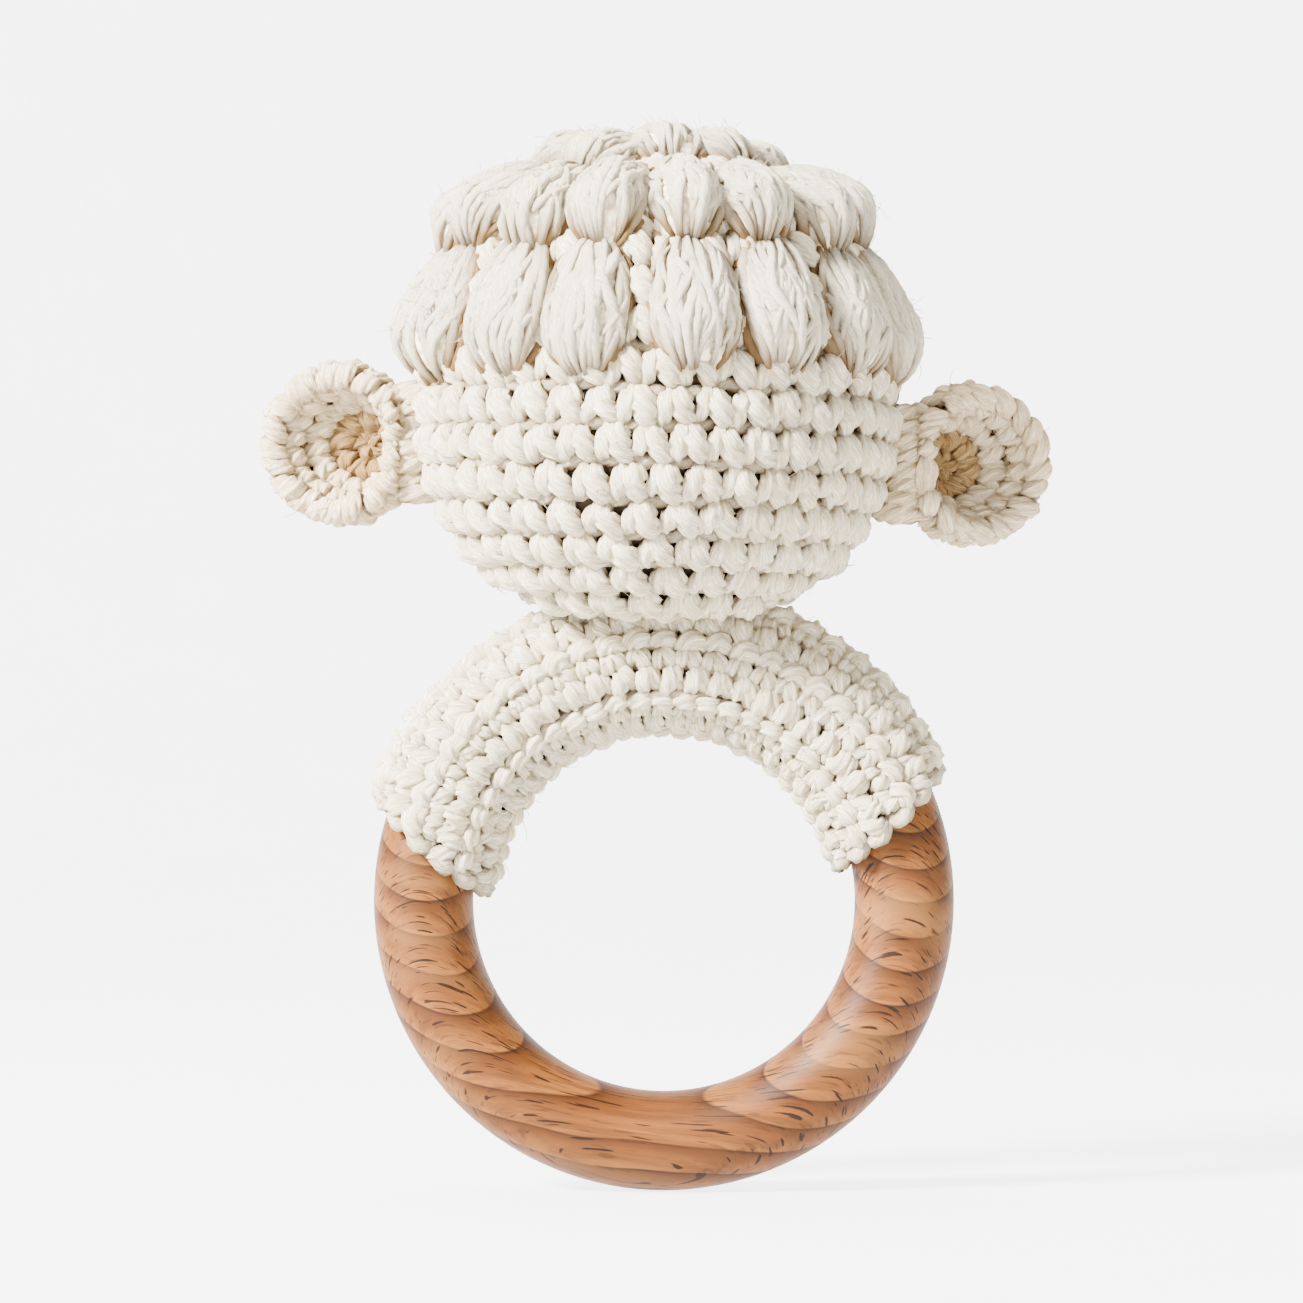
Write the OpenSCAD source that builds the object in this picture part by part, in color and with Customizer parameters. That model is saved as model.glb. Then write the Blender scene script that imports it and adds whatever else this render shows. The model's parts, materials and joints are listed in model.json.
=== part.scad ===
// Crocheted animal-head rattle on a round wooden teething ring.
// Millimetres, +Z up, the face looks along -Y, origin at the centre of the wooden ring.

/* [Wooden ring] */
// Outer diameter of the wooden ring
ring_od = 70; // [66:1:74]
// Thickness of the ring's round bar
bar_d = 12; // [11:0.5:13]

/* [Crocheted sleeve] */
// Thickness of the crocheted strip wrapped round the bar
sleeve_wall = 2.4; // [1.8:0.1:3]
// Angle of the right end at the outside of the ring, from +X
right_end_outer = 27; // [20:1:32]
// Angle of the right end at the inside of the ring, from +X
right_end_inner = 14; // [8:1:20]
// Angle of the left end at the outside of the ring, from +X
left_end_outer = 158; // [150:1:162]
// Angle of the left end at the inside of the ring, from +X
left_end_inner = 174; // [166:1:180]
// Angle that the closing seam takes up round the bar
seam_angle = 14; // [8:1:20]

/* [Head] */
// Greatest diameter of the crocheted ball
head_d = 57; // [54:0.5:60]
// Height of the greatest diameter above the ring's centre
head_z = 58; // [57:0.5:60]
// Sideways offset of the head from the ring's centre
head_x = -0.8; // [-2:0.1:2]
// Height of the ball below its greatest diameter, if it weren't flattened
chin_h = 27; // [26:0.5:28]
// Height of the crown above the greatest diameter
crown_h = 32; // [30:0.5:34]
// Squareness of the crown's outline, 2 being an ellipse
crown_power = 2.4; // [2:0.1:2.8]
// Thickness of the crocheted fabric
fabric_t = 2.4; // [2:0.1:2.8]

/* [Curls] */
// Number of curls in the lower round and in the middle round
curl_count = 15; // [12:1:15]
// Number of curls in the upper round
top_curl_count = 8; // [6:1:8]
// Turn of the first curl to the right of the front
curl_turn = 8; // [0:0.5:12]
// Width of a curl
curl_w = 10.4; // [9:0.2:10.6]
// How much thinner a curl's inner end is than its outer end
curl_taper = 0.3; // [0:0.05:0.4]

/* [Ears] */
// Radius of an ear's rim
ear_r = 9.4; // [8:0.2:10]
// Depth of an ear's bowl
ear_depth = 7; // [6:0.5:8]
// Height of the left ear's centre above the ring's centre
ear_left_z = 55.1; // [50:0.5:58]
// Height of the right ear's centre above the ring's centre
ear_right_z = 52.7; // [50:0.5:58]
// How far the left ear is turned back at rest
ear_left_turn = 10; // [0:1:15]
// How far the right ear is turned back at rest
ear_right_turn = 18; // [0:1:20]

/* [Rattle] */
// Outer diameter of the rattle case
case_d = 24; // [20:0.5:26]
// Height of the rattle case
case_h = 18; // [14:0.5:20]
// Wall thickness of the rattle case
case_wall = 1.2; // [1:0.1:1.4]
// Diameter of a pellet
pellet_d = 4; // [3:0.5:4.5]

/* [Hidden] */
$fn = 96;

// Clearance between two bodies that move on each other
gap = 0.3;

ring_mid = (ring_od - bar_d) / 2;
bar_r = bar_d / 2;
sleeve_in = bar_r + gap;
sleeve_out = sleeve_in + sleeve_wall;

// The closing seam runs along the back of the bar, on the side of the ring's hole.
// Angles round the bar count from the outside of the ring towards the front.
seam_at = 225;
seam_proud = 0.3;

// The sleeve's ends are cut along straight lines between these two radii.
end_r_outer = 2 * ring_mid;
end_r_inner = ring_mid / 3;

// The head's base is flat, with a groove that seats it on the sleeve and lets it nod.
head_r = head_d / 2;
base_rise = 6.3;
base_z = ring_mid + base_rise;
groove_r = sleeve_out + gap;
groove_cover = 2;
base_t = groove_r - base_rise + groove_cover;
steps = 10;

// The neck seam lies between the head's base and the sleeve.
neck_in = 10.4;
neck_out = 13.6;
neck_low = base_z - 1.6;
neck_nod_gap = 0.9;

// Where the curls are sewn: the height of a curl's middle on the ball, and its length.
lower_z = head_z + 13.2;
middle_z = head_z + 25.7;
upper_z = head_z + 30.9;
lower_l = 14.6;
middle_l = 12;
upper_l = 11;
middle_w = 0.8 * curl_w;
upper_w = 0.78 * curl_w;
middle_taper = 0.45;
upper_taper = 0.55;
sewn_gap = 0.15;

knot_r = 4.4;
knot_low = head_z + crown_h - 1;
knot_high = head_z + crown_h + 2.4;

// The ears turn on the sewing yarn at the sides of the head.
ear_y = 2;
ear_reach = ear_r - 0.8;
ear_sunk = 3;
ear_t = 2.6;
hinge_out = 0.9;
hinge_x = head_r + hinge_out;
stitch_r = 1.2;
stitch_h = 9;
front_cut = 75;

case_r = case_d / 2;
case_z = head_z + 2 - case_h / 2;
lip_t = 0.6;
lip_h = 2;
// Five pellets stand in a ring on the case's floor.
pellet_count = 5;
pellet_ring_r = case_r / 2;
pellet_gap = 0.1;

// Radius of an outline at a height above or below its widest place
function bulge(radius, height, power, rise) =
    radius * pow(1 - pow(abs(rise) / height, power), 1 / power);

// Radius of the ball's outside at a height above the ring's centre
function ball_r(z) =
    z < head_z ? bulge(head_r, chin_h, 2, z - head_z)
               : bulge(head_r, crown_h, crown_power, z - head_z);

// Lean of the ball's outside at a height, from upright
function ball_lean(z) = atan((ball_r(z - 0.2) - ball_r(z + 0.2)) / 0.4);

// Outline of the ball, moved in by inset and cut off flat at a height
function ball_points(inset, floor_z) =
    let (
        r = head_r - inset,
        low = chin_h - inset,
        high = crown_h - inset,
        first = asin((head_z - floor_z) / low)
    )
    concat(
        [[0, floor_z]],
        [for (i = [0:steps]) let (a = first * (1 - i / steps)) [r * cos(a), head_z - low * sin(a)]],
        [for (i = [1:steps - 1]) let (a = 90 * i / steps, p = 2 / crown_power)
            [r * pow(cos(a), p), head_z + high * pow(sin(a), p)]],
        [[0, head_z + high]]
    );

module ball(inset, floor_z) {
    translate([head_x, 0, 0])
        rotate_extrude()
            polygon(ball_points(inset, floor_z));
}

// The bar's line, bent into the upright ring
module ring_sweep() {
    rotate([90, 0, 0])
        rotate_extrude()
            translate([ring_mid, 0])
                children();
}

// Everything below the sleeve's two slanted ends
module below_ends() {
    rotate([90, 0, 0])
        linear_extrude(height = 4 * sleeve_out, center = true)
            polygon([
                end_point(right_end_outer, right_end_inner, end_r_outer),
                end_point(right_end_outer, right_end_inner, end_r_inner),
                end_point(left_end_outer, left_end_inner, end_r_inner),
                end_point(left_end_outer, left_end_inner, end_r_outer),
                [-end_r_outer, -end_r_outer],
                [end_r_outer, -end_r_outer]
            ]);
}

// A point on the line through a sleeve end, carried on to a radius
function end_point(outer_a, inner_a, r) =
    let (
        a = (ring_mid + sleeve_out) * [cos(outer_a), sin(outer_a)],
        b = (ring_mid - sleeve_out) * [cos(inner_a), sin(inner_a)],
        t = (r - ring_mid - sleeve_out) / (2 * sleeve_out)
    )
    a + t * (a - b);

// A slice of the bar's cross-section that holds the closing seam
module seam_slice() {
    far = 2 * sleeve_out;
    rotate(seam_at)
        polygon([
            [0, 0],
            [far * cos(seam_angle / 2), far * sin(seam_angle / 2)],
            [far * cos(seam_angle / 2), -far * sin(seam_angle / 2)]
        ]);
}

module wooden_ring() {
    color("#d8a878")
        ring_sweep()
            circle(r = bar_r);
}

module ring_sleeve() {
    color("#efe9dc")
        difference() {
            ring_sweep()
                difference() {
                    circle(r = sleeve_out);
                    circle(r = sleeve_in);
                    seam_slice();
                }
            below_ends();
        }
}

module sleeve_seam() {
    color("#e4dccb")
        difference() {
            ring_sweep()
                intersection() {
                    difference() {
                        circle(r = sleeve_out + seam_proud);
                        circle(r = sleeve_in);
                    }
                    seam_slice();
                }
            below_ends();
        }
}

// The groove along the sleeve's top line, which the head's base sits over
module groove() {
    translate([0, 0, ring_mid])
        rotate([0, 90, 0])
            cylinder(r = groove_r, h = 2 * head_d, center = true);
}

module neck_seam() {
    color("#e4dccb")
        difference() {
            translate([head_x, 0, neck_low])
                difference() {
                    cylinder(r = neck_out, h = groove_r);
                    translate([0, 0, -1])
                        cylinder(r = neck_in, h = groove_r + 2);
                }
            difference() {
                ball(0, base_z);
                groove();
            }
            translate([-head_r, -head_r, ring_mid + groove_r])
                cube([head_d, head_d, groove_r]);
            ring_sweep()
                circle(r = sleeve_out + neck_nod_gap);
        }
}

module head_cover() {
    color("#f3eee3")
        difference() {
            ball(0, base_z);
            ball(fabric_t, base_z + base_t);
            groove();
        }
}

module head_stuffing() {
    color("#ffffff")
        difference() {
            ball(fabric_t, base_z + base_t);
            translate([head_x, 0, case_z])
                cylinder(r = case_r, h = case_h);
        }
}

// One curl: a spindle along Z, thicker at its lower end
module curl(width, length, taper) {
    low_r = width / 2;
    high_r = low_r * (1 - taper);
    hull() {
        translate([0, 0, low_r - length / 2])
            sphere(r = low_r, $fn = 12);
        translate([0, 0, length / 2 - high_r])
            sphere(r = high_r, $fn = 12);
    }
}

// A round of curls lying on the ball, each with its thick end outwards
module curl_round(count, z, width, length, taper) {
    difference() {
        for (i = [0:count - 1])
            translate([head_x, 0, 0])
                rotate([0, 0, i * 360 / count + curl_turn - 90])
                    translate([ball_r(z), 0, z])
                        rotate([0, -ball_lean(z), 0])
                            curl(width, length, taper);
        ball(-sewn_gap, base_z, $fn = 32);
    }
}

module curl_round_lower() {
    color("#fbf8f1")
        curl_round(curl_count, lower_z, curl_w, lower_l, curl_taper);
}

module curl_round_middle() {
    color("#fbf8f1")
        curl_round(curl_count, middle_z, middle_w, middle_l, middle_taper);
}

module curl_round_upper() {
    color("#fbf8f1")
        curl_round(top_curl_count, upper_z, upper_w, upper_l, upper_taper);
}

module crown_knot() {
    color("#f3eee3")
        difference() {
            translate([head_x, 0, knot_low])
                cylinder(r = knot_r, h = knot_high - knot_low);
            ball(0, base_z);
        }
}

// Lower half of the rattle case, with the lip that the upper half pushes over
module rattle_case_lower() {
    color("#e8e8e4")
        translate([head_x, 0, case_z])
            difference() {
                union() {
                    cylinder(r = case_r, h = case_h / 2);
                    cylinder(r = case_r - case_wall, h = case_h / 2 + lip_h);
                }
                translate([0, 0, case_wall])
                    cylinder(r = case_r - case_wall - lip_t, h = case_h);
            }
}

module rattle_case_upper() {
    color("#dcdcd8")
        translate([head_x, 0, case_z])
            difference() {
                translate([0, 0, case_h / 2])
                    cylinder(r = case_r, h = case_h / 2);
                translate([0, 0, -case_wall])
                    cylinder(r = case_r - case_wall, h = case_h);
            }
}

module rattle_pellet(i) {
    a = i * 360 / pellet_count;
    color("#c8c8c4")
        translate([
            head_x + pellet_ring_r * cos(a),
            pellet_ring_r * sin(a),
            case_z + case_wall + pellet_gap + pellet_d / 2
        ])
            sphere(d = pellet_d, $fn = 32);
}

// The right ear's place: children are drawn with the hinge line at the origin, the ear along +X
module ear_place(z, turn) {
    translate([head_x + hinge_x, ear_y, z])
        rotate([0, 0, turn])
            children();
}

// A bowl whose open side looks along -Y, cut back at the hinge line so that it can flap
module ear_bowl() {
    difference() {
        translate([ear_reach, -ear_sunk, 0])
            rotate([90, 0, 0])
                rotate_extrude()
                    polygon(concat(
                        [for (i = [0:steps]) let (a = 90 * i / steps)
                            [ear_r * cos(a), -ear_depth * sin(a)]],
                        [for (i = [0:steps]) let (a = 90 * (1 - i / steps))
                            [(ear_r - ear_t) * cos(a), -(ear_depth - ear_t) * sin(a)]]
                    ));
        cylinder(r = stitch_r + gap, h = 3 * ear_r, center = true);
        rotate([0, 0, -front_cut])
            translate([-ear_r, -2 * ear_r, -2 * ear_r])
                cube([3 * ear_r, 2 * ear_r, 4 * ear_r]);
    }
}

module ear_stitches(z, turn) {
    difference() {
        ear_place(z, turn)
            cylinder(r = stitch_r, h = stitch_h, center = true);
        ball(0, base_z);
    }
}

module ear_left() {
    color("#e6d9c2")
        translate([2 * head_x, 0, 0])
            mirror([1, 0, 0])
                ear_place(ear_left_z, ear_left_turn)
                    ear_bowl();
}

module ear_right() {
    color("#e6d9c2")
        ear_place(ear_right_z, ear_right_turn)
            ear_bowl();
}

module ear_left_seam() {
    color("#e4dccb")
        translate([2 * head_x, 0, 0])
            mirror([1, 0, 0])
                ear_stitches(ear_left_z, ear_left_turn);
}

module ear_right_seam() {
    color("#e4dccb")
        ear_stitches(ear_right_z, ear_right_turn);
}

wooden_ring();
ring_sleeve();
sleeve_seam();
neck_seam();
head_cover();
curl_round_lower();
curl_round_middle();
curl_round_upper();
crown_knot();
head_stuffing();
rattle_case_lower();
rattle_case_upper();
rattle_pellet(0);  // rattle_pellet_1
rattle_pellet(1);  // rattle_pellet_2
rattle_pellet(2);  // rattle_pellet_3
rattle_pellet(3);  // rattle_pellet_4
rattle_pellet(4);  // rattle_pellet_5
ear_left();
ear_right();
ear_left_seam();
ear_right_seam();
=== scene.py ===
"""Crocheted animal-head rattle on a beech teething ring: the looks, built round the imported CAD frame."""

import json
import math

import bpy
import numpy as np
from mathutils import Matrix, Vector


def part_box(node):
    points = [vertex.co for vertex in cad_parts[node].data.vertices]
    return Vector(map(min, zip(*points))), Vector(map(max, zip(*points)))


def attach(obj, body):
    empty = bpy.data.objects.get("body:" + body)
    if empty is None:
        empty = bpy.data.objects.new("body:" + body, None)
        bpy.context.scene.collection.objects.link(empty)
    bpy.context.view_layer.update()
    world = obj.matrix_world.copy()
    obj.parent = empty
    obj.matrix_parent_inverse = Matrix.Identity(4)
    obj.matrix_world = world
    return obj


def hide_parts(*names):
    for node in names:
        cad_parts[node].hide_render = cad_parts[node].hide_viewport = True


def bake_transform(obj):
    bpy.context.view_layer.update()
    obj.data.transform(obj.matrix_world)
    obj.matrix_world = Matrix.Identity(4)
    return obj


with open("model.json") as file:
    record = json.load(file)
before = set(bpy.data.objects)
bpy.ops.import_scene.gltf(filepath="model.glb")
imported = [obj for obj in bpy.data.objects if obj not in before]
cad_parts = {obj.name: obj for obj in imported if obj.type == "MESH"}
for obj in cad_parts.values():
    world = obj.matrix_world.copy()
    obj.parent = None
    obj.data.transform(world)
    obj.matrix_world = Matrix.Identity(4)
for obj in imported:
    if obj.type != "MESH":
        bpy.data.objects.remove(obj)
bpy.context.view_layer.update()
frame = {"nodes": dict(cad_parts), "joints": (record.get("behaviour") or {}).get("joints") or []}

MM = 0.001
TURN = 2 * math.pi
rng = np.random.default_rng(7)


# ---------------------------------------------------------------- sizes, in millimetres, from the frame

def box_mm(node):
    low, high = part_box(node)
    return np.array(low) / MM, np.array(high) / MM


# The crocheted ball
cover_low, cover_high = box_mm("head_cover")
HEAD_X = (cover_low[0] + cover_high[0]) / 2
HEAD_R = (cover_high[0] - cover_low[0]) / 2
BASE_Z = cover_low[2]
CROWN_Z = cover_high[2]
EQUATOR_Z = 58.0
CHIN_H = 27.0
CROWN_POWER = 2.4

# The wooden ring, and the groove under the head that gives it room to nod on the sleeve
_, ring_high = box_mm("wooden_ring")
BAR_R = ring_high[1]
RING_MID = ring_high[0] - BAR_R
GROOVE_R = 11.1

joints = {j["name"]: j for j in frame["joints"]}

# Crochet gauge
STITCH_W = 4.34
ROW_H = 4.45
YARN_DEPTH = 1.1

# A point of yarn this far above the fabric's middle gets no painted shade; its colour is painted darker, as shade,
# down to the depth below that
PAINTED_SHADE_TOP = 1.5
PAINTED_SHADE_DEPTH = 2.2


# ---------------------------------------------------------------- yarn

def spline(points, count):
    """Catmull-Rom curves through points of shape (strands, controls, axes), each sampled count times."""
    padded = np.concatenate([
        2 * points[:, :1] - points[:, 1:2], points, 2 * points[:, -1:] - points[:, -2:-1]
    ], axis=1)
    t = np.linspace(0, points.shape[1] - 1, count)
    i = np.minimum(t.astype(int), points.shape[1] - 2)
    f = (t - i)[None, :, None]
    a, b, c, d = (padded[:, i + k] for k in range(4))
    return 0.5 * (2 * b + (c - a) * f + (2 * a - 5 * b + 4 * c - d) * f ** 2
                  + (3 * b - a - 3 * c + d) * f ** 3)


def unit(v):
    return v / np.maximum(np.linalg.norm(v, axis=-1, keepdims=True), 1e-9)


class Yarn:
    """Strands of yarn, collected as closed tubes with a plied, twisted cross-section."""

    def __init__(self):
        self.points, self.quads, self.tris, self.marks, self.hollows, self.outs = [], [], [], [], [], []
        self.count = 0

    def add(self, path, guide, half_w, half_h, lift=0.0, sides=24, plies=5, ply=0.17, pitch=10.0):
        """path and guide are (strands, rings, 3), and half_w, half_h and lift are (strands, rings)."""
        n, m = path.shape[:2]
        along = unit(np.gradient(path, axis=1))
        side = unit(np.cross(along, guide))
        up = np.cross(side, along)
        step = np.linalg.norm(np.diff(path, axis=1), axis=2)
        s = np.concatenate([np.zeros((n, 1)), np.cumsum(step, axis=1)], axis=1)
        around = np.linspace(0, TURN, sides, endpoint=False)
        turn = TURN * s / pitch + rng.uniform(0, TURN, (n, 1))
        at = around - turn[..., None]
        lobe = 1 + ply * np.cos(plies * at)
        ring = (path[:, :, None]
                + side[:, :, None] * (half_w[..., None] * np.cos(around) * lobe)[..., None]
                + up[:, :, None] * (half_h[..., None] * np.sin(around) * lobe)[..., None])
        height = np.broadcast_to(s[..., None], at.shape) + rng.uniform(0, 900, (n, 1, 1))
        mark = np.stack([np.cos(at), np.sin(at), height], axis=-1)
        # Painted crease shade: how far a point stands above the fabric's middle sets how much darker its colour is
        # painted; lift here feeds only this painted shade
        proud = np.broadcast_to(lift, (n, m))[..., None] + half_h[..., None] * np.sin(around)
        hollow = np.clip((PAINTED_SHADE_TOP - proud) / PAINTED_SHADE_DEPTH, 0, 1).reshape(n, -1)

        per = m * sides + 2
        points = np.concatenate([ring.reshape(n, -1, 3), path[:, :1], path[:, -1:]], axis=1)
        ends = np.stack([mark[:, 0].mean(1), mark[:, -1].mean(1)], axis=1)
        marks = np.concatenate([mark.reshape(n, -1, 3), ends], axis=1)
        hollow = np.concatenate([hollow, np.ones((n, 2))], axis=1)

        i, j = np.meshgrid(np.arange(m - 1), np.arange(sides), indexing="ij")
        k = (j + 1) % sides
        quads = np.stack([i * sides + j, (i + 1) * sides + j, (i + 1) * sides + k, i * sides + k], -1)
        j = np.arange(sides)
        k = (j + 1) % sides
        last = (m - 1) * sides
        tris = np.concatenate([
            np.stack([np.full(sides, per - 2), j, k], -1),
            np.stack([np.full(sides, per - 1), last + k, last + j], -1),
        ])
        first = self.count + per * np.arange(n)[:, None, None]
        self.points.append(points.reshape(-1, 3))
        self.marks.append(marks.reshape(-1, 3))
        self.hollows.append(hollow.ravel())
        outs = np.concatenate([(ring - path[:, :, None]).reshape(n, -1, 3), np.zeros((n, 2, 3))], axis=1)
        self.outs.append(outs.reshape(-1, 3))
        self.quads.append((quads.reshape(1, -1, 4) + first).reshape(-1, 4))
        self.tris.append((tris.reshape(1, -1, 3) + first).reshape(-1, 3))
        self.count += per * n

    def fuzz(self, share):
        """Adds stray fibres that stand off the yarn, on a share of the points that aren't down in a crease, where
        the painted crease shade is light.
        """
        points, outs = np.concatenate(self.points), unit(np.concatenate(self.outs))
        unshaded = np.flatnonzero((np.concatenate(self.hollows) < 0.35) & (np.abs(outs).sum(1) > 0.5))
        if not len(unshaded):
            return
        pick = rng.choice(unshaded, math.ceil(share * len(unshaded)), replace=False)
        start, out = points[pick][:, None], outs[pick][:, None]
        lean = unit(np.cross(out, rng.normal(size=out.shape)))
        bend = rng.normal(0, 0.5, out.shape)
        reach = rng.uniform(0.6, 1.8, (len(pick), 1, 1))
        t = np.linspace(0, 1, 5)[None, :, None]
        rise = rng.uniform(0.12, 0.6, (len(pick), 1, 1))
        path = start + reach * (lean * t + out * (rise * np.sin(2.4 * t) - 0.04) + bend * t ** 2)
        half = np.broadcast_to(np.array([0.055, 0.05, 0.045, 0.035, 0.02]), (len(pick), 5))
        self.add(path, np.broadcast_to(out, path.shape), half, half, 3.0, sides=3, plies=1, ply=0.0)

    def piece(self, name, material, fuzz=0.007):
        self.fuzz(fuzz)
        joined = (np.concatenate(part) for part in (self.points, self.quads, self.tris, self.marks, self.hollows))
        points, quads, tris, marks, hollows = joined
        return mesh_piece(name, points, quads, tris, material, marks, hollows)


def mesh_piece(name, points, quads, tris, material, marks=None, hollows=None):
    """A smooth mesh object from arrays, in millimetres. marks are for the yarn's fibre streaks, and the last array
    sets each point's painted crease shade in the yarn's shader.
    """
    mesh = bpy.data.meshes.new(name)
    mesh.vertices.add(len(points))
    mesh.vertices.foreach_set("co", (points * MM).astype(np.float32).ravel())
    corners = np.concatenate([quads.ravel(), tris.ravel()]).astype(np.int32)
    sizes = np.concatenate([np.full(len(quads), 4), np.full(len(tris), 3)])
    mesh.loops.add(len(corners))
    mesh.loops.foreach_set("vertex_index", corners)
    mesh.polygons.add(len(sizes))
    starts = np.concatenate([[0], np.cumsum(sizes)[:-1]]).astype(np.int32)
    mesh.polygons.foreach_set("loop_start", starts)
    mesh.polygons.foreach_set("use_smooth", np.ones(len(sizes), bool))
    if marks is not None:
        mark = mesh.attributes.new("yarn", "FLOAT_VECTOR", "POINT")
        mark.data.foreach_set("vector", marks.astype(np.float32).ravel())
        # Each point's painted crease shade, for the yarn's colour
        hollow = mesh.attributes.new("hollow", "FLOAT", "POINT")
        hollow.data.foreach_set("value", hollows.astype(np.float32))
    mesh.update(calc_edges=True)
    mesh.validate()
    mesh.materials.append(material)
    obj = bpy.data.objects.new(name, mesh)
    bpy.context.scene.collection.objects.link(obj)
    return obj


def grid_faces(rows, cols, wrap_rows=False, wrap_cols=True):
    """Quads of a grid of points, joined round on itself where asked."""
    i, j = np.meshgrid(np.arange(rows if wrap_rows else rows - 1),
                       np.arange(cols if wrap_cols else cols - 1), indexing="ij")
    i2, j2 = (i + 1) % rows, (j + 1) % cols
    return np.stack([i * cols + j, i2 * cols + j, i2 * cols + j2, i * cols + j2], -1).reshape(-1, 4)


# ---------------------------------------------------------------- surfaces that the crochet lies on

class Turned:
    """A surface of revolution: its outline runs from the axis outwards, at distances along it in mm."""

    def __init__(self, outline, place, flip=1):
        self.r, self.h = outline.T
        d = np.diff(outline, axis=0)
        self.s = np.concatenate([[0], np.cumsum(np.linalg.norm(d, axis=1))])
        slope = unit(np.gradient(outline, axis=0))
        self.nr, self.nh = -flip * slope[:, 1], flip * slope[:, 0]
        self.place = place

    def at(self, name, s):
        return np.interp(s, self.s, getattr(self, name))

    def __call__(self, a, s, lift):
        """Points and outward directions at angle a, distance s along the outline and a lift off it."""
        nr, nh = self.at("nr", s), self.at("nh", s)
        r, h = self.at("r", s) + lift * nr, self.at("h", s) + lift * nh
        point = np.stack([r * np.sin(a), -r * np.cos(a), h], -1)
        normal = unit(np.stack([nr * np.sin(a), -nr * np.cos(a), nh], -1))
        return self.place(point, normal)


def head_outline(inset):
    """The ball's outline from the crown down to its base, moved in by inset."""
    r, high, low = HEAD_R - inset, CROWN_Z - EQUATOR_Z - inset, CHIN_H - inset
    a = np.linspace(math.pi / 2, 0, 60)
    top = np.stack([r * np.cos(a) ** (2 / CROWN_POWER), high * np.sin(a) ** (2 / CROWN_POWER)], -1)
    b = np.linspace(0, math.asin(min(1, (EQUATOR_Z - BASE_Z - 0.4 * inset) / low)), 50)[1:]
    bottom = np.stack([r * np.cos(b), -low * np.sin(b)], -1)
    flat = np.linspace(bottom[-1, 0], 0, 12)[1:]
    floor = np.stack([flat, np.full(len(flat), bottom[-1, 1])], -1)
    outline = np.concatenate([top, bottom, floor])
    outline[:, 1] += EQUATOR_Z
    return outline


def head_place(point, normal):
    """Puts a point on the head, which is grooved underneath where it sits on the sleeve."""
    y = point[..., 1]
    roof = RING_MID + np.sqrt(np.maximum(GROOVE_R ** 2 - y ** 2, 0))
    height = np.where(np.abs(y) < GROOVE_R, np.maximum(point[..., 2], roof), point[..., 2])
    return np.stack([point[..., 0] + HEAD_X, y, height], -1), normal


ball = Turned(head_outline(YARN_DEPTH), head_place)


def down_to(z):
    """Distance along the ball's outline from the crown to a height."""
    lower = int(np.argmin(ball.h))
    return float(np.interp(-z, -ball.h[:lower + 1], ball.s[:lower + 1]))


def sleeve_point(a, b, rho):
    """Points and outward directions on the bent bar: a runs round the ring from +X, b round the bar from
    the ring's outside."""
    out = np.stack([np.cos(a), np.zeros_like(a), np.sin(a)], -1)
    front = np.array([0.0, -1.0, 0.0])
    normal = out * np.cos(b)[..., None] + front * np.sin(b)[..., None]
    return out * RING_MID + normal * rho[..., None], unit(normal)


# ---------------------------------------------------------------- one crochet stitch
# Control points are (across the stitch, up the row, lift in mm), widths are in mm at the usual gauge.

LEFT_LEG = np.array([
    (0.56, -0.02, -1.1), (0.43, 0.16, 0.4), (0.28, 0.46, 0.95), (0.20, 0.76, 0.75), (0.27, 1.03, -0.5)])
RIGHT_LEG = np.array([
    (0.60, -0.02, -1.1), (0.70, 0.18, 0.2), (0.82, 0.48, 0.75), (0.95, 0.78, 0.55), (1.08, 1.05, -0.5)])
TOP_LOOP = np.array([
    (-0.15, 0.96, -0.9), (0.2, 1.03, -0.35), (0.5, 0.98, -0.2), (0.8, 1.03, -0.35), (1.15, 0.96, -0.9)])
BUMP = np.array([(0.0, 0.60, -0.8), (0.14, 0.76, 0.5), (0.47, 0.84, 1.0), (0.82, 0.74, 0.6), (1.0, 0.56, -0.8)])
BUMP_LEFT = np.array([(0.50, 0.64, -0.3), (0.36, 0.44, 0.5), (0.22, 0.16, 0.6), (0.14, -0.14, -0.5)])
BUMP_RIGHT = np.array([(0.52, 0.60, -0.3), (0.66, 0.38, 0.5), (0.80, 0.12, 0.5), (0.88, -0.16, -0.5)])
LEFT_W = np.array([0.45, 1.05, 1.38, 1.30, 0.55])
RIGHT_W = np.array([0.40, 0.90, 1.15, 1.10, 0.50])
LOOP_W = np.array([0.3, 0.8, 0.9, 0.8, 0.3])
BUMP_W = np.array([0.6, 1.30, 1.56, 1.35, 0.6])
FOOT_W = np.array([0.6, 1.0, 1.1, 0.5])
RINGS = 13
LOOP_SIDES = 10
FLATNESS = 0.86
JITTER = np.array([0.03, 0.03, 0.10])


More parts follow.
